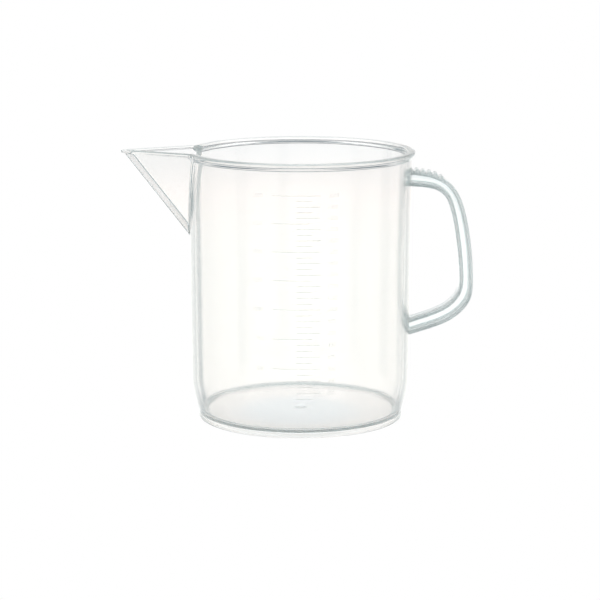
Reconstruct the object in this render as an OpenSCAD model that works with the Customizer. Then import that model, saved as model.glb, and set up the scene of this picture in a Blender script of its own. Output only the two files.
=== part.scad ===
// Two-litre graduated beaker with a pouring spout and a D-shaped handle.
// A clear plastic moulding, drawn as its own features: foot, base, heel, wall,
// brim, spout and handle, with the raised volume scale on the front wall.
// The vessel's axis is vertical. The spout points to -X, the handle to +X, and
// the scale faces -Y. The table is at Z = 0, and the origin is the middle of
// the whole outline, so the vessel's own axis stands at X = axis_x.

/* [Vessel] */
// Outer radius of the wall at the reference height
wall_r = 70; // [66:0.5:74]
// Height at which wall_r is measured
wall_ref_z = 122; // [100:1:140]
// Thickness of the wall
wall_t = 3.5; // [2.8:0.1:4]
// Growth of the radius per millimetre of height
draft = 0.0075; // [0.002:0.0005:0.012]
// Height of the brim above the table
brim_z = 170.6; // [166:0.2:176]

/* [Foot and base] */
// Height of the foot ring
foot_h = 5; // [4:0.5:6]
// Inner radius of the foot ring
foot_in_r = 61; // [60:0.5:61]
// Depth of the recess under the base plate
recess_h = 3.0; // [1:0.1:3.4]
// Height at which the heel curve ends in the wall
heel_top = 28; // [26:1:32]
// Radius of the heel curve, seen from the side
heel_r = 65; // [60:1:75]
// Reach of the fillet between the wall and the floor
floor_fillet = 2.5; // [1.5:0.5:3]
// Radius of the gate mark under the base
gate_r = 2.4; // [1.5:0.1:3]
// Height of the gate mark
gate_h = 0.5; // [0.3:0.1:0.8]

/* [Brim] */
// Height of the thickened brim
lip_h = 5; // [4.5:0.5:5.5]
// How far the brim stands out from the wall
lip_out = 2; // [1.5:0.1:2.2]

/* [Spout] */
// Slope of the keel: how far it leans out per millimetre of height
keel_slope = 0.774; // [0.74:0.002:0.8]
// Height at which the keel leaves the wall
keel_z = 114.8; // [112:0.2:118]
// Half of the angle between the two cheeks, seen from above
cheek_a = 26.8; // [26:0.2:28]
// Thickness of a cheek
cheek_t = 2.2; // [2:0.1:2.6]
// Height of the bead along the top edge of the spout
bead_h = 2.4; // [2:0.1:2.8]
// How far the bead stands out from the cheek
bead_out = 0.645; // [0.5:0.005:0.8]
// Width of the blunt face at the tip of the brim
tip_w = 0.9; // [0.6:0.1:1.4]

/* [Handle] */
// Thickness of a flange
flange_t = 2.2; // [1.8:0.1:2.6]
// Width of a flange
flange_w = 12; // [10:0.5:14]
// Thickness of the web between the flanges
web_t = 2; // [1.6:0.1:3]
// Number of thumb ridges
ridge_n = 6; // [4:1:6]
// Radius of one thumb ridge
ridge_r = 1.45; // [1.2:0.05:1.6]
// Distance between two thumb ridges
ridge_pitch = 3.85; // [3.6:0.05:4]

/* [Scale] */
// Relief of the lines and numerals
relief = 0.3; // [0.2:0.05:0.5]
// Thickness of a line
line_t = 0.45; // [0.35:0.05:0.7]
// Lowest marked volume in millilitres
low_ml = 250; // [250:50:500]
// Highest marked volume in millilitres
top_ml = 2000; // [1000:500:2000]
// Height of a numeral
digit_h = 2.7; // [2:0.1:2.9]
// Width of a numeral
digit_w = 1.45; // [1.2:0.05:1.6]
// Stroke of a numeral
digit_s = 0.36; // [0.25:0.01:0.4]

/* [Hidden] */
$fn = 96;

// colours
clear_c = [0.90, 0.95, 0.97, 0.45];
base_c = [0.84, 0.90, 0.93, 0.6];
handle_c = [0.78, 0.87, 0.87, 0.85];
mark_c = [0.55, 0.62, 0.63];

// wall
function r_out(z) = wall_r + draft * (z - wall_ref_z);
function r_in(z) = r_out(z) - wall_t;
draft_deg = atan(draft);
lip_z = brim_z - lip_h;

// heel: an arc that is upright where it meets the wall
heel_cx = r_out(heel_top) - heel_r;
heel_a = asin((heel_top - foot_h) / heel_r);
heel_ri = heel_r - wall_t;
heel_ai = asin((heel_top - foot_h) / heel_ri);
foot_r = heel_cx + heel_r * cos(heel_a);
floor_r = heel_cx + heel_ri * cos(heel_ai);
// the inner arc stops where the floor fillet starts
fillet_a = asin((heel_top - foot_h - floor_fillet) / heel_ri);
function heel_out(i, n) = let (a = heel_a * (1 - i / n))
    [heel_cx + heel_r * cos(a), heel_top - heel_r * sin(a)];
function heel_inn(i, n) = let (a = fillet_a * (i / n))
    [heel_cx + heel_ri * cos(a), heel_top - heel_ri * sin(a)];
function bez2(a, b, c, t) = a * (1 - t) * (1 - t) + b * 2 * t * (1 - t) + c * t * t;

// spout: the keel is a straight sloping line in the plane Y = 0
keel_deg = atan(keel_slope);
keel_x0 = -r_out(keel_z);
function keel_x(z) = keel_x0 - keel_slope * (z - keel_z);
// half angle of the V measured square to the keel
cheek_n = atan(tan(cheek_a) / cos(keel_deg));
spout_len = 50;
// brim line of the spout, at the height lip_z
apex_x = keel_x(lip_z) + cheek_t / (sin(cheek_n) * cos(keel_deg));
brim_ri = r_in(lip_z);
// where the inner face of a cheek meets the inner face of the wall
jb = apex_x * cos(cheek_a);
js = -jb - sqrt(jb * jb - (apex_x * apex_x - brim_ri * brim_ri));
lip_w = wall_t + lip_out;
// a cheek in a level section: its thickness, and its lean per millimetre of height
cheek_p = cheek_t * sin(cheek_a) / (sin(cheek_n) * cos(keel_deg));
cheek_lean = keel_slope * sin(cheek_a);
bead_u = cheek_p + cheek_lean * (lip_h - 0.8) + bead_out;
tip_x = apex_x - bead_u / sin(cheek_a) + (tip_w / 2) / tan(cheek_a);

// handle: two smooth lines through round points, seen from the front
outer_pts = [[60, 156.6], [67, 156.5], [74, 156.1], [82, 154.7], [89, 152],
             [94.8, 147.6], [99.4, 141], [102.9, 131], [105.5, 118.5],
             [107.3, 105], [108.2, 91], [107.9, 80], [105.2, 73],
             [100, 67.2], [93.5, 62.7], [86, 59.4], [77, 56.4],
             [67, 53.4], [60, 51.2]];
inner_pts = [[60, 149.4], [67, 149.2], [74, 148.9], [81, 148.1], [86.5, 146.5],
             [91, 143.3], [94.2, 138.4], [96.9, 129.5], [99, 118.5],
             [100.8, 105], [101.9, 91], [101.6, 83], [99.6, 78],
             [95, 72.8], [89.5, 69.2], [83, 66.4], [75, 63.6],
             [67, 61], [60, 58.8]];
steps = 4;
function cr(a, b, c, d, t) = 0.5 * (2 * b + (c - a) * t
    + (2 * a - 5 * b + 4 * c - d) * t * t + (3 * b - a - 3 * c + d) * t * t * t);
function smooth(p) = [for (i = [1:len(p) - 3], k = [0:steps - 1])
    cr(p[i - 1], p[i], p[i + 1], p[i + 2], k / steps), p[len(p) - 2]];
function unit(v) = v / norm(v);
// square offset of a line to its left by d
function shift(p, d) = [for (i = [0:len(p) - 1])
    let (t = unit(p[min(i + 1, len(p) - 1)] - p[max(i - 1, 0)])) p[i] + d * [-t[1], t[0]]];
function rev(p) = [for (i = [len(p) - 1:-1:0]) p[i]];
outer_line = smooth(outer_pts);
inner_line = smooth(inner_pts);
outer_a = shift(outer_line, flange_t / 2);
outer_b = shift(outer_line, -flange_t / 2);
inner_a = shift(inner_line, flange_t / 2);
inner_b = shift(inner_line, -flange_t / 2);
ridge_x0 = 69.6;
// height of the outer flange's top face above a given X
function top_z(x, p = outer_a, i = 0) = (i >= len(p) - 2 || p[i + 1][0] >= x)
    ? p[i][1] + (p[i + 1][1] - p[i][1]) * (x - p[i][0]) / (p[i + 1][0] - p[i][0])
    : top_z(x, p, i + 1);

// scale: height of the line of a volume given in millilitres
function mark_z(v) = let (n = v / 250) 6.55 + 19.43 * n - 0.165 * n * n;
function azim(x) = asin(x / wall_r);
mark_x0 = -2.4;
mark_50_x = 7.1;
mark_100_x = 12.1;
mark_250_x = -16.8;
// a long line stands at each 250 ml from 500 ml up
function is_long(v) = v >= 500 && v % 250 == 0;
// wall radius at a line, down to the top of the heel curve
function face_r(z) = z >= heel_top ? r_out(z)
    : heel_cx + sqrt(heel_r * heel_r - (heel_top - z) * (heel_top - z));

// overall reach on each side of the vessel's axis
handle_reach = max([for (p = outer_a) p[0]]);
axis_x = (-tip_x - handle_reach) / 2;

module on_axis() { translate([axis_x, 0, 0]) children(); }

// solid vessel outline between two heights
module wall_solid(z0, z1, d = 0) {
    translate([0, 0, z0])
        cylinder(h = z1 - z0, r1 = r_out(z0) - d, r2 = r_out(z1) - d, $fn = 180);
}

// wedge between the cheeks, moved in by d from their outer faces
module spout_wedge(d) {
    u0 = d / sin(cheek_n);
    translate([keel_x0, 0, keel_z]) rotate([0, -keel_deg, 0])
        translate([0, 0, -60])
        linear_extrude(height = 160)
        polygon([[u0, 0], [spout_len * cos(keel_deg), -(spout_len * cos(keel_deg) - u0) * tan(cheek_n)],
                 [spout_len * cos(keel_deg), (spout_len * cos(keel_deg) - u0) * tan(cheek_n)]]);
}

// section of the brim: u runs outward from the inner face, z from lip_z
function lip_section() = let (w = lip_w, h = lip_h)
    [[0, 0], [wall_t, 0], [wall_t + 0.15 * lip_out, 0.16 * h], [wall_t + 0.5 * lip_out, 0.32 * h],
     [w - 0.25, 0.48 * h], [w, 0.6 * h], [w, 0.76 * h], [w - 0.3, 0.88 * h], [w - 0.95, 0.97 * h],
     [w - 1.8, h], [1.5, h], [0.7, h - 0.2], [0.2, h - 0.65], [0, h - 1.3]];

module foot_ring() {
    color(base_c) on_axis() rotate_extrude($fn = 180)
        polygon([[foot_in_r, 0.4], [foot_in_r + 0.4, 0], [foot_r - 0.8, 0], [foot_r - 0.25, 0.25],
                 [foot_r, 0.8], [foot_r, foot_h], [foot_in_r, foot_h]]);
}

module base_plate() {
    color(base_c) on_axis() translate([0, 0, recess_h])
        cylinder(h = foot_h - recess_h, r = foot_in_r, $fn = 180);
}

module gate_mark() {
    color(base_c) on_axis() translate([0, 0, recess_h - gate_h])
        cylinder(h = gate_h, r = gate_r, $fn = 48);
}

module heel_ring() {
    n = 14;
    m = 5;
    p1 = heel_inn(n, n);
    p2 = [floor_r, foot_h];
    p3 = [floor_r - floor_fillet, foot_h];
    color(clear_c) on_axis() rotate_extrude($fn = 180)
        polygon(concat([for (i = [0:n]) heel_out(i, n)],
                       [for (i = [0:n]) heel_inn(i, n)],
                       [for (i = [1:m]) bez2(p1, p2, p3, i / m)]));
}

module vessel_wall() {
    color(clear_c) on_axis() difference() {
        rotate_extrude($fn = 180)
            polygon([[r_in(heel_top), heel_top], [r_out(heel_top), heel_top],
                     [r_out(lip_z), lip_z], [r_in(lip_z), lip_z]]);
        spout_wedge(cheek_t);
    }
}

module rim_lip() {
    color(clear_c) on_axis() difference() {
        rotate_extrude($fn = 180)
            polygon([for (q = lip_section()) [brim_ri + q[0], lip_z + q[1]]]);
        spout_wedge(cheek_t);
    }
}

// the brim's outline filled in as far as the axis
module rim_solid() {
    s = lip_section();
    rotate_extrude($fn = 180)
        polygon(concat([[0, lip_z - 0.5], [r_out(lip_z), lip_z - 0.5]],
                       [for (i = [1:9]) [brim_ri + s[i][0], lip_z + s[i][1]]],
                       [[brim_ri + s[9][0], brim_z + 1], [0, brim_z + 1]]));
}

// top strip of a cheek with its bead: u runs outward, z from lip_z
function spout_section() = let (h = lip_h, t = cheek_p, k = cheek_lean, b = bead_out, z0 = lip_h - bead_h)
    [[0, 0], [t, 0], [t + k * z0, z0], [t + k * (z0 + 0.35) + 0.6 * b, z0 + 0.35],
     [t + k * (z0 + 0.8) + b, z0 + 0.8], [bead_u, h - 0.8], [bead_u - 0.22, h - 0.3], [bead_u - 0.8, h],
     [k * h + 0.7, h], [k * (h - 0.25) + 0.25, h - 0.25], [k * (h - 0.8), h - 0.8]];

// top strip of the front cheek, from the tip to the round brim
module spout_lip_half() {
    difference() {
        intersection() {
            translate([apex_x, 0, lip_z]) rotate([0, 0, -cheek_a]) rotate([90, 0, 90])
                translate([0, 0, -20]) linear_extrude(height = js + 26)
                polygon([for (q = spout_section()) [-q[0], q[1]]]);
            translate([tip_x, -60, lip_z - 1]) cube([100, 60, lip_h + 2]);
        }
        rim_solid();
    }
}

module spout_lip_front() { color(clear_c) on_axis() spout_lip_half(); }

module spout_lip_back() { color(clear_c) on_axis() mirror([0, 1, 0]) spout_lip_half(); }

// front cheek: between the outer and the inner wedge, outside the wall
module spout_cheek_half() {
    difference() {
        intersection() {
            spout_wedge(0);
            translate([-130, -60, keel_z - 10]) cube([130, 60, lip_z - keel_z + 10]);
        }
        spout_wedge(cheek_t);
        wall_solid(keel_z - 30, lip_z + 10);
    }
}

module spout_cheek_front() { color(clear_c) on_axis() spout_cheek_half(); }

module spout_cheek_back() { color(clear_c) on_axis() mirror([0, 1, 0]) spout_cheek_half(); }

// plate of a given outline in the plane Y = 0, cut off by the wall
module handle_plate(outline, w) {
    difference() {
        translate([0, w / 2, 0]) rotate([90, 0, 0]) linear_extrude(height = w) polygon(outline);
        wall_solid(30, lip_z);
    }
}

module handle_outer_flange() {
    color(handle_c) on_axis() handle_plate(concat(outer_a, rev(outer_b)), flange_w);
}

module handle_inner_flange() {
    color(handle_c) on_axis() handle_plate(concat(inner_a, rev(inner_b)), flange_w);
}

module handle_web() {
    color(clear_c) on_axis() handle_plate(concat(outer_b, rev(inner_a)), web_t);
}

module thumb_ridges() {
    color(handle_c) on_axis() difference() {
        for (i = [0:ridge_n - 1]) let (x = ridge_x0 + i * ridge_pitch)
            translate([x, flange_w / 2, top_z(x)]) rotate([90, 0, 0])
                cylinder(h = flange_w, r = ridge_r * (i == ridge_n - 1 ? 0.8 : 1), $fn = 24);
        translate([0, flange_w / 2 + 1, 0]) rotate([90, 0, 0]) linear_extrude(height = flange_w + 2)
            polygon(concat(outer_a, [[outer_a[len(outer_a) - 1][0] - 8, 51], [50, 51], [50, outer_a[0][1]]]));
        wall_solid(30, lip_z);
    }
}

// raised line at a height, from x0 to x1 along the front wall
module mark(z, x0, x1) {
    a0 = -90 + azim(x0);
    r = face_r(z - line_t / 2);
    rotate([0, 0, a0]) rotate_extrude(angle = azim(x1) - azim(x0), $fn = 180)
        polygon([[r, z - line_t / 2], [r + relief, z - line_t / 2 + 0.08],
                 [r + relief, z + line_t / 2 - 0.08], [face_r(z + line_t / 2), z + line_t / 2]]);
}

module marks_50ml() {
    color(mark_c) on_axis() for (v = [low_ml:50:top_ml])
        if (v % 100 != 0 && !is_long(v)) mark(mark_z(v), mark_x0, mark_50_x);
}

module marks_100ml() {
    color(mark_c) on_axis() for (v = [low_ml:50:top_ml])
        if (v % 100 == 0 && !is_long(v)) mark(mark_z(v), mark_x0, mark_100_x);
}

module marks_250ml() {
    color(mark_c) on_axis() for (v = [500:250:top_ml])
        mark(mark_z(v), mark_250_x, v % 100 == 0 ? mark_100_x : mark_50_x);
}

// bars of a plain numeral: top, upper right, lower right, bottom, lower left, upper left, middle
BARS = [[1, 1, 1, 1, 1, 1, 0], [0, 1, 1, 0, 0, 0, 0], [1, 1, 0, 1, 1, 0, 1], [1, 1, 1, 1, 0, 0, 1],
        [0, 1, 1, 0, 0, 1, 1], [1, 0, 1, 1, 0, 1, 1], [1, 0, 1, 1, 1, 1, 1], [1, 1, 1, 0, 0, 0, 0],
        [1, 1, 1, 1, 1, 1, 1], [1, 1, 1, 1, 0, 1, 1]];
module numeral(d) {
    w = digit_w;
    h = digit_h;
    s = digit_s;
    b = BARS[d];
    if (b[0]) translate([0, h - s]) square([w, s]);
    if (b[1]) translate([w - s, h / 2]) square([s, h / 2]);
    if (b[2]) translate([w - s, 0]) square([s, h / 2]);
    if (b[3]) square([w, s]);
    if (b[4]) square([s, h / 2]);
    if (b[5]) translate([0, h / 2]) square([s, h / 2]);
    if (b[6]) translate([0, h / 2 - s / 2]) square([w, s]);
}

function digits(v) = v < 10 ? [v] : concat(digits(floor(v / 10)), [v % 10]);

// number beside a line: x is the left end, measured along the front wall
module number(v, x) {
    ds = digits(v);
    pitch = digit_w + 0.55;
    z = mark_z(v);
    for (i = [0:len(ds) - 1])
        rotate([0, 0, (x + i * pitch + digit_w / 2) / wall_r * 180 / PI])
        translate([0, -r_out(z), z]) rotate([draft_deg, 0, 0])
        translate([-digit_w / 2, 0, -digit_h / 2]) rotate([90, 0, 0])
        linear_extrude(height = relief) numeral(ds[i]);
}

module numerals_100ml() {
    color(mark_c) on_axis() for (v = [300:100:top_ml]) number(v, 17.2);
}

module numerals_250ml() {
    color(mark_c) on_axis() for (v = [500:250:top_ml])
        number(v, -21.6 - len(digits(v)) * (digit_w + 0.55));
}

foot_ring();
base_plate();
gate_mark();
heel_ring();
vessel_wall();
rim_lip();
spout_cheek_front();
spout_cheek_back();
spout_lip_front();
spout_lip_back();
handle_outer_flange();
handle_inner_flange();
handle_web();
thumb_ridges();
marks_50ml();
marks_100ml();
marks_250ml();
numerals_100ml();
numerals_250ml();
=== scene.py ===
# Clear plastic measuring beaker: the looks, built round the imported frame.
import math
import bpy
import numpy as np
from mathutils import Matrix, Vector


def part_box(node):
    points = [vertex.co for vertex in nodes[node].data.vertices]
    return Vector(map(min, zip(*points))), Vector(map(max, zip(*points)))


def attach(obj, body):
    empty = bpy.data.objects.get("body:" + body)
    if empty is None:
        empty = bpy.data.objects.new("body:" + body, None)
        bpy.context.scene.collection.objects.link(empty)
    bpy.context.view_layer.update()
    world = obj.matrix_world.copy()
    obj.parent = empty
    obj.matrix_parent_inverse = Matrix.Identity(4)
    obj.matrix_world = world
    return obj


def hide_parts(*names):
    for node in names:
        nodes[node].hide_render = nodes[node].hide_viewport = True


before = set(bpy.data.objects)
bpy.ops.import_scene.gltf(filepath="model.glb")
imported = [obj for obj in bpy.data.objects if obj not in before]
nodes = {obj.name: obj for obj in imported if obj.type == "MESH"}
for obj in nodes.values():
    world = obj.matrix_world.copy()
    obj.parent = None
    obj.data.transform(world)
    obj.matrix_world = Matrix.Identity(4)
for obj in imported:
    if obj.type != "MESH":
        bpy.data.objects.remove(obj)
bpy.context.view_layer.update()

MM = 0.001

# ---------------------------------------------------------------- sizes (mm)
b0, b1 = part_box("base_plate")
AX = (b0[0] + b1[0]) / 2 / MM            # the vessel's own axis
FOOT_IN = (b1[0] - b0[0]) / 2 / MM       # inner radius of the foot ring
RECESS = b0[2] / MM
FLOOR_Z = b1[2] / MM
w0, w1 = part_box("vessel_wall")
HEEL_TOP, LIP_Z = w0[2] / MM, w1[2] / MM
r0, r1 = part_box("rim_lip")
BRIM_Z = r1[2] / MM
RIM_R = (r1[1] - r0[1]) / 2 / MM
f0, f1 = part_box("foot_ring")
FOOT_R = (f1[0] - f0[0]) / 2 / MM
g0, g1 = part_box("gate_mark")
GATE_R, GATE_Z = (g1[0] - g0[0]) / 2 / MM, g0[2] / MM
s0, s1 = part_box("spout_lip_front")
TIP = AX - s0[0] / MM                    # reach of the blunt tip from the axis
WALL_T = 3.5
DRAFT = 0.0075
R_TOP = (w1[1] - w0[1]) / 2 / MM         # outer radius where the wall meets the brim


def r_out(z):
    return R_TOP + DRAFT * (z - LIP_Z)


def r_in(z):
    return r_out(z) - WALL_T


LIP_OUT = RIM_R - r_out(LIP_Z)
HEEL_R = 65.0
HEEL_C = r_out(HEEL_TOP) - HEEL_R
KEEL_SLOPE, KEEL_Z, CHEEK_A, CHEEK_T = 0.774, 114.8, math.radians(26.8), 2.2
KEEL_A = math.atan(KEEL_SLOPE)
CHEEK_N = math.atan(math.tan(CHEEK_A) / math.cos(KEEL_A))
KEEL_IN = CHEEK_T / (math.sin(CHEEK_N) * math.cos(KEEL_A))
CHEEK_P, LEAN = KEEL_IN * math.sin(CHEEK_A), KEEL_SLOPE * math.sin(CHEEK_A)
BEAD_H, BEAD_OUT = 2.4, 0.645
K_KEEL = 3.2                             # rounding of the keel's outer edge
KEEL_OUT = (K_KEEL - 1.6) / 4 / math.sin(CHEEK_A)


def keel(z):
    """Distance of the keel's outer line from the axis."""
    return r_out(KEEL_Z) + KEEL_SLOPE * (z - KEEL_Z)


# ---------------------------------------------------------------- mesh help
def new_mesh(name, verts, faces, smooth=True):
    me = bpy.data.meshes.new(name)
    me.from_pydata([tuple(v) for v in verts], [], [tuple(f) for f in faces])
    me.validate()
    me.update()
    ob = bpy.data.objects.new(name, me)
    bpy.context.scene.collection.objects.link(ob)
    me.polygons.foreach_set("use_smooth", [smooth] * len(me.polygons))
    return ob


def smax(a, b, k):
    h = np.maximum(k - np.abs(a - b), 0) / k
    return np.maximum(a, b) + h * h * k / 4


def smin(a, b, k):
    return -smax(-a, -b, k)


def catmull(pts, steps):
    pts = np.asarray(pts, float)
    out = []
    for i in range(1, len(pts) - 2):
        a, b, c, d = pts[i - 1:i + 3]
        for k in range(steps):
            t = k / steps
            out.append(0.5 * (2 * b + (c - a) * t + (2 * a - 5 * b + 4 * c - d) * t * t
                              + (3 * b - a - 3 * c + d) * t ** 3))
    out.append(pts[-2])
    return np.array(out)


# ---------------------------------------------------------------- vessel
def plan(psi, rc, apex, k_join, k_keel, clip=None):
    """Distance from the axis to the outline, at angles psi from the spout's side.
    The outline is a circle joined to a V whose point is apex away; k_join and k_keel round the joins."""
    ca, sa = math.cos(CHEEK_A), math.sin(CHEEK_A)
    lo = np.full_like(psi, rc - 6.0)
    hi = np.full_like(psi, max(apex, rc) + 6.0)
    c, s = np.cos(psi), np.abs(np.sin(psi))
    fine = np.abs(psi) < math.radians(60)

    def field(r):
        x, y = r * c, r * s
        d = smax((x - apex) * sa + y * ca, (x - apex) * sa - y * ca, k_keel)
        if clip is not None:
            d = smax(d, x - clip, 0.5)
        d = np.where(fine, d, 1e3)
        return smin(r - rc, d, k_join)

    for _ in range(46):
        mid = (lo + hi) / 2
        inside = field(mid) < 0
        lo = np.where(inside, mid, lo)
        hi = np.where(inside, hi, mid)
    return (lo + hi) / 2


def arc(n, a0, a1, cx, cz, r):
    return [(cx + r * math.cos(a), cz + r * math.sin(a)) for a in np.linspace(a0, a1, n)]


def vessel_rows():
    """Rows of the skin from under the base, up the outside, over the brim and down to the floor.
    Each row is (z, circle radius, apex or None, k_join, k_keel, clip)."""
    rows = []

    def ring(r, z):
        rows.append((z, r, None, 1, 1, None))

    # under the base, with the small gate mark
    ring(GATE_R * 0.4, GATE_Z)
    ring(GATE_R - 0.8, GATE_Z + 0.02)
    ring(GATE_R - 0.3, GATE_Z + 0.12)
    ring(GATE_R + 0.3, RECESS - 0.12)
    ring(GATE_R + 0.9, RECESS)
    for r in (6, 12, 20, 30, 40, 50, 57, FOOT_IN - 1.4):
        ring(r, RECESS)
    for r, z in arc(5, math.pi / 2, 0, FOOT_IN - 1.0, RECESS - 0.6, 0.6):
        ring(r + 0.4, z)
    for r, z in arc(4, math.pi, 3 * math.pi / 2, FOOT_IN + 0.7, 0.5, 0.5)[1:]:
        ring(r + 0.2, z)
    ring((FOOT_IN + FOOT_R) / 2, 0)
    for r, z in arc(6, -math.pi / 2, 0, FOOT_R - 0.8, 0.8, 0.8):
        ring(r, z)
    for z in (1.6, 2.6, 3.6, 4.4):
        ring(FOOT_R, z)
    # heel, outside
    a_end = math.asin((HEEL_TOP - 5.0) / HEEL_R)
    ring(FOOT_R + 0.03, 4.8)
    ring(FOOT_R + 0.12, 5.15)
    for r, z in arc(24, -a_end + 0.012, 0, HEEL_C, HEEL_TOP, HEEL_R):
        ring(r, z)
    for z in (33, 40, 50, 60, 70, 80, 90, 98, 104, 108):
        ring(r_out(z), z)
    # outside of the wall and of the spout
    for z in np.append(np.arange(110, LIP_Z - 0.2, 0.45), LIP_Z - 0.15):
        rows.append((z, r_out(z), keel(z) + KEEL_OUT, 0.8, K_KEEL, None))
    # brim: u runs outward from the inner line
    a_in = keel(LIP_Z) - KEEL_IN
    w, h = WALL_T + LIP_OUT, BRIM_Z - LIP_Z
    sec = [(3.3, -1.2), (WALL_T, 0), (WALL_T + 0.15 * LIP_OUT, 0.16 * h), (WALL_T + 0.5 * LIP_OUT, 0.32 * h),
           (w - 0.25, 0.48 * h), (w, 0.62 * h), (w - 0.02, 0.74 * h), (w - 0.3, 0.87 * h), (w - 0.95, 0.965 * h),
           (w - 1.9, h), (1.6, h), (0.75, 0.965 * h), (0.2, 0.87 * h), (0.02, 0.72 * h), (0, 0.55 * h), (0, 0.2 * h)]
    # the spout's own top edge: a thin cheek with a small bead
    z0 = h - BEAD_H
    top_u = CHEEK_P + LEAN * (h - 0.8) + BEAD_OUT
    out_z = [-3, z0, z0 + 0.35, z0 + 0.8, h - 0.8, h - 0.3, h]
    out_u = [CHEEK_P - LEAN * 3, CHEEK_P + LEAN * z0, CHEEK_P + LEAN * (z0 + 0.35) + 0.6 * BEAD_OUT,
             CHEEK_P + LEAN * (z0 + 0.8) + BEAD_OUT, top_u, top_u - 0.22, top_u - 0.8]
    in_z, in_u = [0, h - 0.8, h - 0.25, h], [0, LEAN * (h - 0.8), LEAN * (h - 0.25) + 0.25, LEAN * h + 0.7]
    for u, dz in catmull(sec, 3)[2:]:
        u = min(max(u, 0.0), w)
        dz = min(dz, h)
        outer = u > (1.6 + w - 1.9) / 2
        v = np.interp(dz, out_z, out_u) if outer else np.interp(dz, in_z, in_u)
        rows.append((LIP_Z + dz, r_in(LIP_Z) + u, a_in + v / math.sin(CHEEK_A) + (KEEL_OUT if outer else 0),
                     1.2, K_KEEL if outer else 2.2, TIP))
    # inside of the wall and of the spout
    for z in np.arange(LIP_Z - 0.2, 116, -0.9):
        rows.append((z, r_in(z), keel(z) - KEEL_IN, 2.0, 2.2, None))
    for z in (114, 110, 104, 96, 88, 80, 70, 60, 50, 40, 33):
        ring(r_in(z), z)
    # heel, inside, then the fillet and the floor
    ri = HEEL_R - WALL_T
    a_fil = math.asin((HEEL_TOP - 5.0 - 2.5) / ri)
    for r, z in arc(22, 0, -a_fil, HEEL_C, HEEL_TOP, ri):
        ring(r, z)
    p1 = np.array([HEEL_C + ri * math.cos(a_fil), HEEL_TOP - ri * math.sin(a_fil)])
    fr = HEEL_C + ri * math.cos(math.asin((HEEL_TOP - 5.0) / ri))
    p2, p3 = np.array([fr, FLOOR_Z]), np.array([fr - 2.5, FLOOR_Z])
    for t in np.linspace(0, 1, 9)[1:]:
        q = p1 * (1 - t) ** 2 + p2 * 2 * t * (1 - t) + p3 * t * t
        ring(q[0], q[1])
    for r in (56, 50, 42, 34, 26, 18, 11, 5, 2):
        ring(r, FLOOR_Z)
    return rows


def build_vessel():
    # fine steps at the spout that grow slowly, so that the shading has no seam
    at, step = [0.0], 0.06
    while at[-1] < 180:
        step = min(step * 1.06, 0.22 if at[-1] < 26 else 1.5)
        at.append(at[-1] + step)
    half = np.radians(np.array(at) * 180 / at[-1])
    psi = np.concatenate([half, -half[-2:0:-1]])
    n = len(psi)
    rows = vessel_rows()
    verts, faces = [], []
    for z, rc, apex, kj, kk, clip in rows:
        if apex is None or apex < rc - 12:
            rho = np.full(n, float(rc))
        else:
            rho = plan(psi, rc, apex, kj, kk, clip)
        x = AX - rho * np.cos(psi)
        y = -rho * np.sin(psi)
        verts.append(np.stack([x, y, np.full(n, float(z))], 1))
    m = len(rows)
    V = np.concatenate(verts + [np.array([[AX, 0, GATE_Z]]), np.array([[AX, 0, FLOOR_Z]])]) * MM
    for j in range(m - 1):
        for i in range(n):
            k = (i + 1) % n
            faces.append((j * n + i, j * n + k, (j + 1) * n + k, (j + 1) * n + i))
    c0, c1 = m * n, m * n + 1
    for i in range(n):
        k = (i + 1) % n
        faces.append((c0, k, i))
        faces.append((c1, (m - 1) * n + i, (m - 1) * n + k))
    return new_mesh("vessel_shell", V, faces)


# ---------------------------------------------------------------- handle
OUTER = [[60, 156.6], [67, 156.5], [74, 156.1], [82, 154.7], [89, 152], [94.8, 147.6], [99.4, 141],
         [102.9, 131], [105.5, 118.5], [107.3, 105], [108.2, 91], [107.9, 80], [105.2, 73], [100, 67.2],
         [93.5, 62.7], [86, 59.4], [77, 56.4], [67, 53.4], [60, 51.2]]
INNER = [[60, 149.4], [67, 149.2], [74, 148.9], [81, 148.1], [86.5, 146.5], [91, 143.3], [94.2, 138.4],
         [96.9, 129.5], [99, 118.5], [100.8, 105], [101.9, 91], [101.6, 83], [99.6, 78], [95, 72.8],
         [89.5, 69.2], [83, 66.4], [75, 63.6], [67, 61], [60, 58.8]]
FL_T, FL_W, WEB_T = 2.2, 12.0, 2.0
RIDGE_X0, RIDGE_P, RIDGE_R, RIDGE_N = 69.6, 3.85, 1.45, 6


def at_length(d, p, at):
    return np.stack([np.interp(at, d, p[:, 0]), np.interp(at, d, p[:, 1])], 1)


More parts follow.
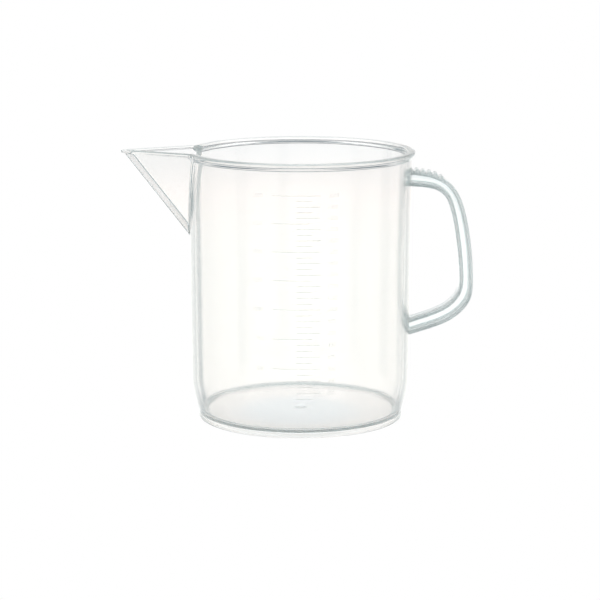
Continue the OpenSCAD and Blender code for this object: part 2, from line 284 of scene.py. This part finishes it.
def build_handle():
    po, pi = catmull(OUTER, 24), catmull(INNER, 24)
    d = np.concatenate([[0], np.cumsum(np.linalg.norm(np.diff(po, axis=0), axis=1))])
    # finer along the thumb ridges
    s_a = np.interp(66.9, po[:60, 0], d[:60])
    fine_end = d[np.argmax(po[:, 0] > 91.5)]
    s_b = d[-60:][np.argmin(np.abs(po[-60:, 0] - 66.9))]
    at = np.concatenate([np.arange(s_a, fine_end, 0.22), np.arange(fine_end, s_b, 0.9), [s_b]])
    o, i = at_length(d, po, at), at_length(d, pi, at)

    # normals of each line, pointing away from the hand
    def normals(p):
        t = np.gradient(p, axis=0)
        t /= np.linalg.norm(t, axis=1)[:, None]
        return np.stack([-t[:, 1], t[:, 0]], 1)
    no, ni = normals(o), normals(i)
    # height of the thumb ridges along the outer face
    h = np.zeros(len(o))
    top = o + no * (FL_T / 2)
    for q in range(RIDGE_N):
        xq = RIDGE_X0 + q * RIDGE_P
        r = RIDGE_R * (0.8 if q == RIDGE_N - 1 else 1.0)
        zq = np.interp(xq, top[:100, 0], top[:100, 1])
        dist = np.hypot(top[:, 0] - xq, top[:, 1] - zq)
        near = dist < 8
        bump = np.sqrt(np.maximum(r * r - dist * dist, 0))
        h = np.where(near, np.maximum(h, bump), h)
    h = np.convolve(np.pad(h, 1, mode="edge"), [0.2, 0.6, 0.2], mode="valid")
    h = np.where(top[:, 1] > 140, h, 0)

    # section: (which line, along its normal, y); corners rounded with radius rr
    rr = 0.75
    c45 = [math.radians(a) for a in (0, 22.5, 45, 67.5, 90)]
    yw, yb = FL_W / 2, WEB_T / 2
    sec = []

    def corner(line, sn, sy, n0, y0, r, order):
        """Rounded outer corner: centre at (n0, y0), opening towards (sn, sy)."""
        pts = [(line, n0 + sn * r * math.cos(a), y0 + sy * r * math.sin(a)) for a in c45]
        return pts if order > 0 else pts[::-1]

    t2 = FL_T / 2
    rt = min(rr, t2 - 0.05)
    fil = 0.7
    # outer flange, right half (+y), from the middle of the outer face round to the web
    right = [("o", t2, 0.0), ("o", t2, yw * 0.45), ("o", t2, yw * 0.75)]
    right += corner("o", 1, 1, t2 - rt, yw - rt, rt, 1)
    right += corner("o", -1, 1, -t2 + rt, yw - rt, rt, -1)
    right += [("o", -t2, yw * 0.7), ("o", -t2, yw * 0.4)]
    right += [("o", -t2 - fil * (1 - math.cos(a)), yb + fil * (1 - math.sin(a))) for a in c45]
    right += [("i", t2 + fil * (1 - math.cos(a)), yb + fil * (1 - math.sin(a))) for a in c45[::-1]]
    right += [("i", t2, yw * 0.4), ("i", t2, yw * 0.7)]
    right += corner("i", 1, 1, t2 - rt, yw - rt, rt, 1)
    right += corner("i", -1, 1, -t2 + rt, yw - rt, rt, -1)
    right += [("i", -t2, yw * 0.75), ("i", -t2, yw * 0.45), ("i", -t2, 0.0)]
    left = [(l, nn, -y) for l, nn, y in right[-2:0:-1]]
    sec = right + left
    rows = []
    for k in range(len(o)):
        ring = []
        for l, nn, y in sec:
            p = (o[k] + no[k] * (nn + (h[k] if nn > 0 else 0))) if l == "o" else (i[k] + ni[k] * nn)
            ring.append((p[0] + AX, y, p[1]))
        rows.append(ring)
    n, m = len(sec), len(rows)
    V = np.array(rows).reshape(-1, 3) * MM
    faces = []
    for j in range(m - 1):
        for a in range(n):
            b = (a + 1) % n
            faces.append((j * n + a, (j + 1) * n + a, (j + 1) * n + b, j * n + b))
    faces.append(tuple(range(n)))
    faces.append(tuple((m - 1) * n + a for a in reversed(range(n))))
    ob = new_mesh("handle", V, faces)
    return ob


# ---------------------------------------------------------------- numerals
RELIEF = 0.3


def mark_z(v):
    n = v / 250
    return 6.55 + 19.43 * n - 0.165 * n * n


def numeral_meshes(entries, name):
    """entries: (text, arc length of the left end, height). One relief mesh, wrapped on the wall."""
    verts, faces = [], []
    for text, x0, z0 in entries:
        cu = bpy.data.curves.new("t", "FONT")
        cu.body = text
        cu.size = 1.0
        cu.resolution_u = 3
        cu.extrude = 0.5
        ob = bpy.data.objects.new("t", cu)
        bpy.context.scene.collection.objects.link(ob)
        dg = bpy.context.evaluated_depsgraph_get()
        dg.update()
        me = bpy.data.meshes.new_from_object(ob.evaluated_get(dg))
        co = np.array([v.co[:] for v in me.vertices])
        h = co[:, 1].max() - co[:, 1].min()
        s = 2.7 / h
        co[:, 0] = (co[:, 0] - co[:, 0].min()) * s * 0.86
        co[:, 1] = (co[:, 1] - (co[:, 1].max() + co[:, 1].min()) / 2) * s
        base = len(verts)
        for x, y, d in co:
            a = (x0 + x) / R_TOP
            z = z0 + y
            r = r_out(z) + (RELIEF if d > 0 else -0.03)
            verts.append(((AX + r * math.sin(a)) * MM, -r * math.cos(a) * MM, z * MM))
        for p in me.polygons:
            faces.append(tuple(base + k for k in p.vertices))
        bpy.data.objects.remove(ob)
        bpy.data.curves.remove(cu)
        bpy.data.meshes.remove(me)
    return new_mesh(name, verts, faces, smooth=False)


# ---------------------------------------------------------------- materials
def material(name):
    m = bpy.data.materials.new(name)
    m.use_nodes = True
    nt = m.node_tree
    for n in list(nt.nodes):
        nt.nodes.remove(n)
    return m, nt


def noise(nt, scale, detail, rough=0.5, stretch=(1, 1, 1)):
    co = nt.nodes.new("ShaderNodeTexCoord")
    mp = nt.nodes.new("ShaderNodeMapping")
    mp.inputs["Scale"].default_value = stretch
    n = nt.nodes.new("ShaderNodeTexNoise")
    n.inputs["Scale"].default_value = scale
    n.inputs["Detail"].default_value = detail
    n.inputs["Roughness"].default_value = rough
    nt.links.new(co.outputs["Object"], mp.inputs["Vector"])
    nt.links.new(mp.outputs["Vector"], n.inputs["Vector"])
    return n.outputs["Fac"]


def remap(nt, fac, a, b):
    m = nt.nodes.new("ShaderNodeMapRange")
    m.inputs["To Min"].default_value = a
    m.inputs["To Max"].default_value = b
    m.inputs["From Min"].default_value = 0.3
    m.inputs["From Max"].default_value = 0.7
    nt.links.new(fac, m.inputs["Value"])
    return m.outputs["Result"]


def clear_plastic(name, tint, ior, rough, scatter, density, aniso, absorb, thickness, bumps):
    """Moulded clear plastic with a little haze in its body. bumps is a list of (scale, detail, strength, distance)."""
    m, nt = material(name)
    out = nt.nodes.new("ShaderNodeOutputMaterial")
    p = nt.nodes.new("ShaderNodeBsdfPrincipled")
    p.inputs["IOR"].default_value = ior
    p.inputs["Transmission Weight"].default_value = 1.0
    # faint flow lines in the tint and in the gloss
    cr = nt.nodes.new("ShaderNodeMix")
    cr.data_type = "RGBA"
    cr.inputs["A"].default_value = (*tint, 1)
    cr.inputs["B"].default_value = (*[min(1, c * 1.006) for c in tint], 1)
    nt.links.new(noise(nt, 9, 3, stretch=(1, 1, 0.35)), cr.inputs["Factor"])
    nt.links.new(cr.outputs["Result"], p.inputs["Base Color"])
    nt.links.new(remap(nt, noise(nt, 60, 4), rough * 0.7, rough * 1.3), p.inputs["Roughness"])
    prev = None
    for scale, detail, strength, dist in bumps:
        b = nt.nodes.new("ShaderNodeBump")
        b.inputs["Strength"].default_value = strength
        b.inputs["Distance"].default_value = dist
        nt.links.new(noise(nt, scale, detail), b.inputs["Height"])
        if prev is not None:
            nt.links.new(prev, b.inputs["Normal"])
        prev = b.outputs["Normal"]
    nt.links.new(prev, p.inputs["Normal"])
    nt.links.new(p.outputs["BSDF"], out.inputs["Surface"])
    # haze and tint inside
    sc = nt.nodes.new("ShaderNodeVolumeScatter")
    sc.inputs["Color"].default_value = (*scatter, 1)
    sc.inputs["Density"].default_value = density
    sc.inputs["Anisotropy"].default_value = aniso
    ab = nt.nodes.new("ShaderNodeVolumeAbsorption")
    ab.inputs["Color"].default_value = (*absorb, 1)
    ab.inputs["Density"].default_value = thickness
    add = nt.nodes.new("ShaderNodeAddShader")
    nt.links.new(sc.outputs["Volume"], add.inputs[0])
    nt.links.new(ab.outputs["Volume"], add.inputs[1])
    nt.links.new(add.outputs["Shader"], out.inputs["Volume"])
    return m


def frosted(name, color, rough, clear):
    """Fine raised relief that scatters what shines through it."""
    m, nt = material(name)
    out = nt.nodes.new("ShaderNodeOutputMaterial")
    p = nt.nodes.new("ShaderNodeBsdfPrincipled")
    p.inputs["IOR"].default_value = 1.49
    cr = nt.nodes.new("ShaderNodeMix")
    cr.data_type = "RGBA"
    cr.inputs["A"].default_value = (*color, 1)
    cr.inputs["B"].default_value = (*[c * 0.9 for c in color], 1)
    nt.links.new(noise(nt, 500, 3), cr.inputs["Factor"])
    nt.links.new(cr.outputs["Result"], p.inputs["Base Color"])
    nt.links.new(remap(nt, noise(nt, 900, 2), rough * 0.85, min(1, rough * 1.15)), p.inputs["Roughness"])
    b = nt.nodes.new("ShaderNodeBump")
    b.inputs["Strength"].default_value = 0.4
    b.inputs["Distance"].default_value = 0.0001
    nt.links.new(noise(nt, 1800, 2), b.inputs["Height"])
    nt.links.new(b.outputs["Normal"], p.inputs["Normal"])
    tr = nt.nodes.new("ShaderNodeBsdfTransparent")
    mx = nt.nodes.new("ShaderNodeMixShader")
    mx.inputs["Fac"].default_value = clear
    nt.links.new(p.outputs["BSDF"], mx.inputs[1])
    nt.links.new(tr.outputs["BSDF"], mx.inputs[2])
    nt.links.new(mx.outputs["Shader"], out.inputs["Surface"])
    return m


VESSEL = clear_plastic("clear_plastic", (0.99, 0.985, 0.98), 1.49, 0.03, (0.80, 0.93, 1.0), 60.0, 0.8,
                       (0.45, 0.8, 0.8), 5.0, [(14, 2, 0.08, 0.0003), (160, 3, 0.04, 0.0001)])
HANDLE = clear_plastic("handle_plastic", (0.955, 1.0, 1.0), 1.49, 0.12, (0.91, 1.0, 1.0), 125.0, 0.6,
                       (0.1, 0.97, 0.97), 6.0, [(40, 2, 0.25, 0.0004), (400, 3, 0.08, 0.0001)])
MARKS = frosted("raised_marks", (0.78, 0.81, 0.81), 0.6, 0.82)
FIGURES = frosted("raised_numerals", (0.80, 0.83, 0.83), 0.6, 0.90)

# ---------------------------------------------------------------- pieces
vessel = build_vessel()
vessel.data.materials.append(VESSEL)
handle = build_handle()
handle.data.materials.append(HANDLE)
pitch = 1.45 + 0.55
right = numeral_meshes([(str(v), 17.2, mark_z(v)) for v in range(300, 2001, 100)], "numerals_right")
left = numeral_meshes([(str(v), -21.6 - len(str(v)) * pitch, mark_z(v)) for v in range(500, 2001, 250)], "numerals_left")
for ob, names, slot in ((vessel, ("foot_ring", "base_plate", "gate_mark", "heel_ring", "vessel_wall", "rim_lip",
                                  "spout_cheek_front", "spout_cheek_back", "spout_lip_front", "spout_lip_back"),
                         "clear_plastic"),
                        (handle, ("handle_outer_flange", "handle_inner_flange", "handle_web", "thumb_ridges"),
                         "handle_plastic"),
                        (right, ("numerals_100ml",), "raised_marks"),
                        (left, ("numerals_250ml",), "raised_marks")):
    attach(ob, "root")
    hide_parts(*names)
for ob in (right, left):
    ob.data.materials.append(FIGURES)
for n in ("marks_50ml", "marks_100ml", "marks_250ml"):
    o = nodes[n]
    o.data.materials.clear()
    o.data.materials.append(MARKS)

# ---------------------------------------------------------------- studio
scene = bpy.context.scene
scene.view_settings.view_transform = "Standard"
scene.view_settings.look = "None"
scene.view_settings.exposure = 0
scene.view_settings.gamma = 1
scene.cycles.volume_bounces = 6
scene.cycles.transmission_bounces = 20
scene.cycles.glossy_bounces = 20
scene.cycles.max_bounces = 24

me = bpy.data.meshes.new("floor")
S = 6.0
n = 96
me.from_pydata([(S * math.cos(2 * math.pi * k / n), S * math.sin(2 * math.pi * k / n), -0.00005) for k in range(n)], [],
               [tuple(range(n))])
floor = bpy.data.objects.new("floor", me)
scene.collection.objects.link(floor)
fm, nt = material("floor_white")
out = nt.nodes.new("ShaderNodeOutputMaterial")
em = nt.nodes.new("ShaderNodeEmission")
em.inputs["Color"].default_value = (1, 1, 1, 1)
em.inputs["Strength"].default_value = 1.0
nt.links.new(em.outputs["Emission"], out.inputs["Surface"])
me.materials.append(fm)
floor.visible_transmission = False
floor.visible_glossy = False
floor.visible_diffuse = False
floor.visible_shadow = False

# the table under the jug: a glowing disc with painted shadow and a painted tint of the light through the plastic; only
# seen through the base
me = bpy.data.meshes.new("table_under")
me.from_pydata([(AX * MM + 0.0608 * math.cos(2 * math.pi * k / n), 0.0608 * math.sin(2 * math.pi * k / n), 0.0001)
                for k in range(n)], [], [tuple(range(n))])
under = bpy.data.objects.new("table_under", me)
scene.collection.objects.link(under)
um, nt = material("table_under")
out = nt.nodes.new("ShaderNodeOutputMaterial")
em = nt.nodes.new("ShaderNodeEmission")
geo = nt.nodes.new("ShaderNodeNewGeometry")
sep = nt.nodes.new("ShaderNodeSeparateXYZ")
nt.links.new(geo.outputs["Position"], sep.inputs["Vector"])
ln = nt.nodes.new("ShaderNodeVectorMath")
ln.operation = "LENGTH"
nt.links.new(geo.outputs["Position"], ln.inputs[0])
ring_f = nt.nodes.new("ShaderNodeMapRange")
ring_f.interpolation_type = "SMOOTHSTEP"
ring_f.inputs["From Min"].default_value = 0.022
ring_f.inputs["From Max"].default_value = 0.052
nt.links.new(ln.outputs["Value"], ring_f.inputs["Value"])
# painted light tint: bluish in the middle, warm white toward the rim
tint = nt.nodes.new("ShaderNodeMix")
tint.data_type = "RGBA"
tint.inputs["A"].default_value = (1.00, 1.09, 1.135, 1)
tint.inputs["B"].default_value = (1.13, 1.135, 1.115, 1)
nt.links.new(ring_f.outputs["Result"], tint.inputs["Factor"])
# painted shade: the disc glows dimmer toward the front
front = nt.nodes.new("ShaderNodeMapRange")
front.interpolation_type = "SMOOTHSTEP"
front.inputs["From Min"].default_value = -0.06
front.inputs["From Max"].default_value = 0.01
front.inputs["To Min"].default_value = 0.76
front.inputs["To Max"].default_value = 1.0
nt.links.new(sep.outputs["Y"], front.inputs["Value"])
nt.links.new(tint.outputs["Result"], em.inputs["Color"])
nt.links.new(front.outputs["Result"], em.inputs["Strength"])
nt.links.new(em.outputs["Emission"], out.inputs["Surface"])
me.materials.append(um)
under.visible_camera = False
under.visible_glossy = False
under.visible_diffuse = False
under.visible_shadow = False
under.visible_volume_scatter = False

# world: a bright surround with grey flags, as a clear object is lit from behind
w = bpy.data.worlds.new("studio")
scene.world = w
w.use_nodes = True
nt = w.node_tree
for k in list(nt.nodes):
    nt.nodes.remove(k)
out = nt.nodes.new("ShaderNodeOutputWorld")
bg = nt.nodes.new("ShaderNodeBackground")
tc = nt.nodes.new("ShaderNodeTexCoord")
sx = nt.nodes.new("ShaderNodeSeparateXYZ")
nt.links.new(tc.outputs["Generated"], sx.inputs["Vector"])


def math_node(op, a, b=None, clamp=False):
    m = nt.nodes.new("ShaderNodeMath")
    m.operation = op
    m.use_clamp = clamp
    for k, v in enumerate((a, b)):
        if v is None:
            continue
        if isinstance(v, (int, float)):
            m.inputs[k].default_value = v
        else:
            nt.links.new(v, m.inputs[k])
    return m.outputs[0]


def smooth(v, a, b, lo=0.0, hi=1.0):
    m = nt.nodes.new("ShaderNodeMapRange")
    m.interpolation_type = "SMOOTHSTEP"
    m.inputs["From Min"].default_value = a
    m.inputs["From Max"].default_value = b
    m.inputs["To Min"].default_value = lo
    m.inputs["To Max"].default_value = hi
    nt.links.new(v, m.inputs["Value"])
    return m.outputs["Result"]


def mix_color(fac, a, b):
    m = nt.nodes.new("ShaderNodeMix")
    m.data_type = "RGBA"
    nt.links.new(fac, m.inputs["Factor"])
    for key, v in (("A", a), ("B", b)):
        if isinstance(v, tuple):
            m.inputs[key].default_value = (*v, 1)
        else:
            nt.links.new(v, m.inputs[key])
    return m.outputs["Result"]


az = math_node("MULTIPLY", math_node("ARCTAN2", sx.outputs["X"], sx.outputs["Y"]), 180 / math.pi)
el = math_node("MULTIPLY", math_node("ARCSINE", sx.outputs["Z"]), 180 / math.pi)

# brightness by height: table, backdrop, and the overhead softbox
LEVELS = [(-90, (0.12, 0.20, 0.20)), (-62, (0.15, 0.25, 0.25)), (-55, (0.62, 0.70, 0.70)), (-36, (0.70, 0.75, 0.76)),
          (-30, (0.64, 0.68, 0.69)), (-27, (0.84, 0.87, 0.87)), (-21, (0.84, 0.86, 0.86)), (-18.5, (1.12, 1.13, 1.13)), (-16, (1.21, 1.23, 1.22)),
          (-14, (1.25, 1.265, 1.24)), (-9.5, (1.25, 1.265, 1.24)), (-8.2, (1.25, 1.20, 1.18)), (-7.5, (1.02, 1.04, 1.05)),
          (-4, (1.03, 1.045, 1.05)), (-2, (1.08, 1.07, 1.06)), (20, (1.06, 1.04, 1.03)), (34, (0.96, 0.97, 0.97)),
          (38, (1.10, 1.12, 1.12)), (44, (1.40, 1.45, 1.45)), (90, (1.40, 1.50, 1.50))]
TOP = 1.6
SHOULDER, FLAG_IN, FLAG_OUT, FLAG = (14.5, 18.0), (18.5, 21.0), (30.5, 32.5), (0.03, 0.10, 0.13)
ramp = nt.nodes.new("ShaderNodeValToRGB")
ramp.color_ramp.interpolation = "LINEAR"
els = ramp.color_ramp.elements
while len(els) > 1:
    els.remove(els[-1])
for k, (h, c) in enumerate(LEVELS):
    e = els[0] if k == 0 else els.new((h + 90) / 180)
    e.position = (h + 90) / 180
    e.color = (*[v / TOP for v in c], 1)
nt.links.new(math_node("DIVIDE", math_node("ADD", el, 90.0), 180.0), ramp.inputs["Fac"])
# upright grey flags beside four directions, seen only through the plastic
flag = outer_flag = near = None
for centre in (0.0, -45.0, -90.0, 135.0):
    turn = math_node("FRACT", math_node("ADD", math_node("DIVIDE", math_node("SUBTRACT", az, centre), 360.0), 1.5))
    side = math_node("MULTIPLY", math_node("ABSOLUTE", math_node("SUBTRACT", turn, 0.5)), 360.0)
    one = math_node("ADD", smooth(side, *SHOULDER, 0.0, 0.25), smooth(side, *FLAG_IN, 0.0, 0.75))
    one = math_node("MULTIPLY", one, smooth(side, *FLAG_OUT, 1.0, 0.0))
    flag = one if flag is None else math_node("MAXIMUM", flag, one)
    one = math_node("MULTIPLY", one, smooth(side, 27.0, 30.0, 0.34, 0.6))
    outer_flag = one if outer_flag is None else math_node("MAXIMUM", outer_flag, one)
    one = smooth(side, 9.0, 15.0, 1.0, 0.2)
    near = one if near is None else math_node("MAXIMUM", near, one)
lp = nt.nodes.new("ShaderNodeLightPath")
deep = smooth(lp.outputs["Transmission Depth"], 2.5, 3.5)
flag = math_node("ADD", math_node("MULTIPLY", flag, deep),
                 math_node("MULTIPLY", outer_flag, math_node("SUBTRACT", 1.0, deep)))
flag = math_node("MULTIPLY", flag, smooth(el, -3.0, 0.0, 1.0, 0.0))
flag = math_node("MULTIPLY", flag, smooth(el, -50.0, -40.0))
flag = math_node("MULTIPLY", flag, lp.outputs["Is Transmission Ray"])
sc = nt.nodes.new("ShaderNodeVectorMath")
sc.operation = "SCALE"
nt.links.new(ramp.outputs["Color"], sc.inputs[0])
sc.inputs["Scale"].default_value = TOP
col = mix_color(flag, sc.outputs["Vector"], FLAG)
# dark strips above the backdrop, seen through one wall only, which draw the brim
strip = math_node("MULTIPLY", smooth(el, 0.5, 2.0), smooth(el, 8.0, 10.0, 1.0, 0.0))
other = math_node("MULTIPLY", smooth(el, 18.0, 20.0), smooth(el, 28.0, 31.0, 1.0, 0.0))
strip = math_node("MAXIMUM", strip, other)
strip = math_node("MULTIPLY", math_node("MULTIPLY", strip, near), lp.outputs["Is Transmission Ray"])
strip = math_node("MULTIPLY", strip, math_node("SUBTRACT", 1.0, deep))
col = mix_color(strip, col, (0.0, 0.02, 0.05))
col = mix_color(lp.outputs["Is Camera Ray"], col, (1.0, 1.0, 1.0))
nt.links.new(col, bg.inputs["Color"])
nt.links.new(bg.outputs["Background"], out.inputs["Surface"])


def softbox(name, loc, size, power):
    d = bpy.data.lights.new(name, "AREA")
    d.shape = "RECTANGLE"
    d.size, d.size_y = size
    d.energy = power
    o = bpy.data.objects.new(name, d)
    o.location = loc
    o.rotation_euler = (Vector((0, 0, 0.08)) - Vector(loc)).to_track_quat("-Z", "Y").to_euler()
    scene.collection.objects.link(o)
    o.visible_camera = False
    return o


softbox("key", (-1.3, -1.1, 1.7), (0.9, 0.9), 6)
softbox("fill", (1.6, -0.6, 1.3), (0.7, 0.7), 3)
softbox("back", (0.3, 1.6, 1.6), (1.0, 0.5), 3)

# ---------------------------------------------------------------- camera
cd = bpy.data.cameras.new("camera")
cam = bpy.data.objects.new("camera", cd)
scene.collection.objects.link(cam)
cd.sensor_width = 36
cd.lens = 132.317
cd.clip_start = 0.05
cd.clip_end = 30
cam.location = ((AX - 0.25) * MM, -1.3790, 0.34586)
cam.rotation_euler = (math.radians(90 - 11.145), 0, 0)
scene.camera = cam

bpy.context.view_layer.update()
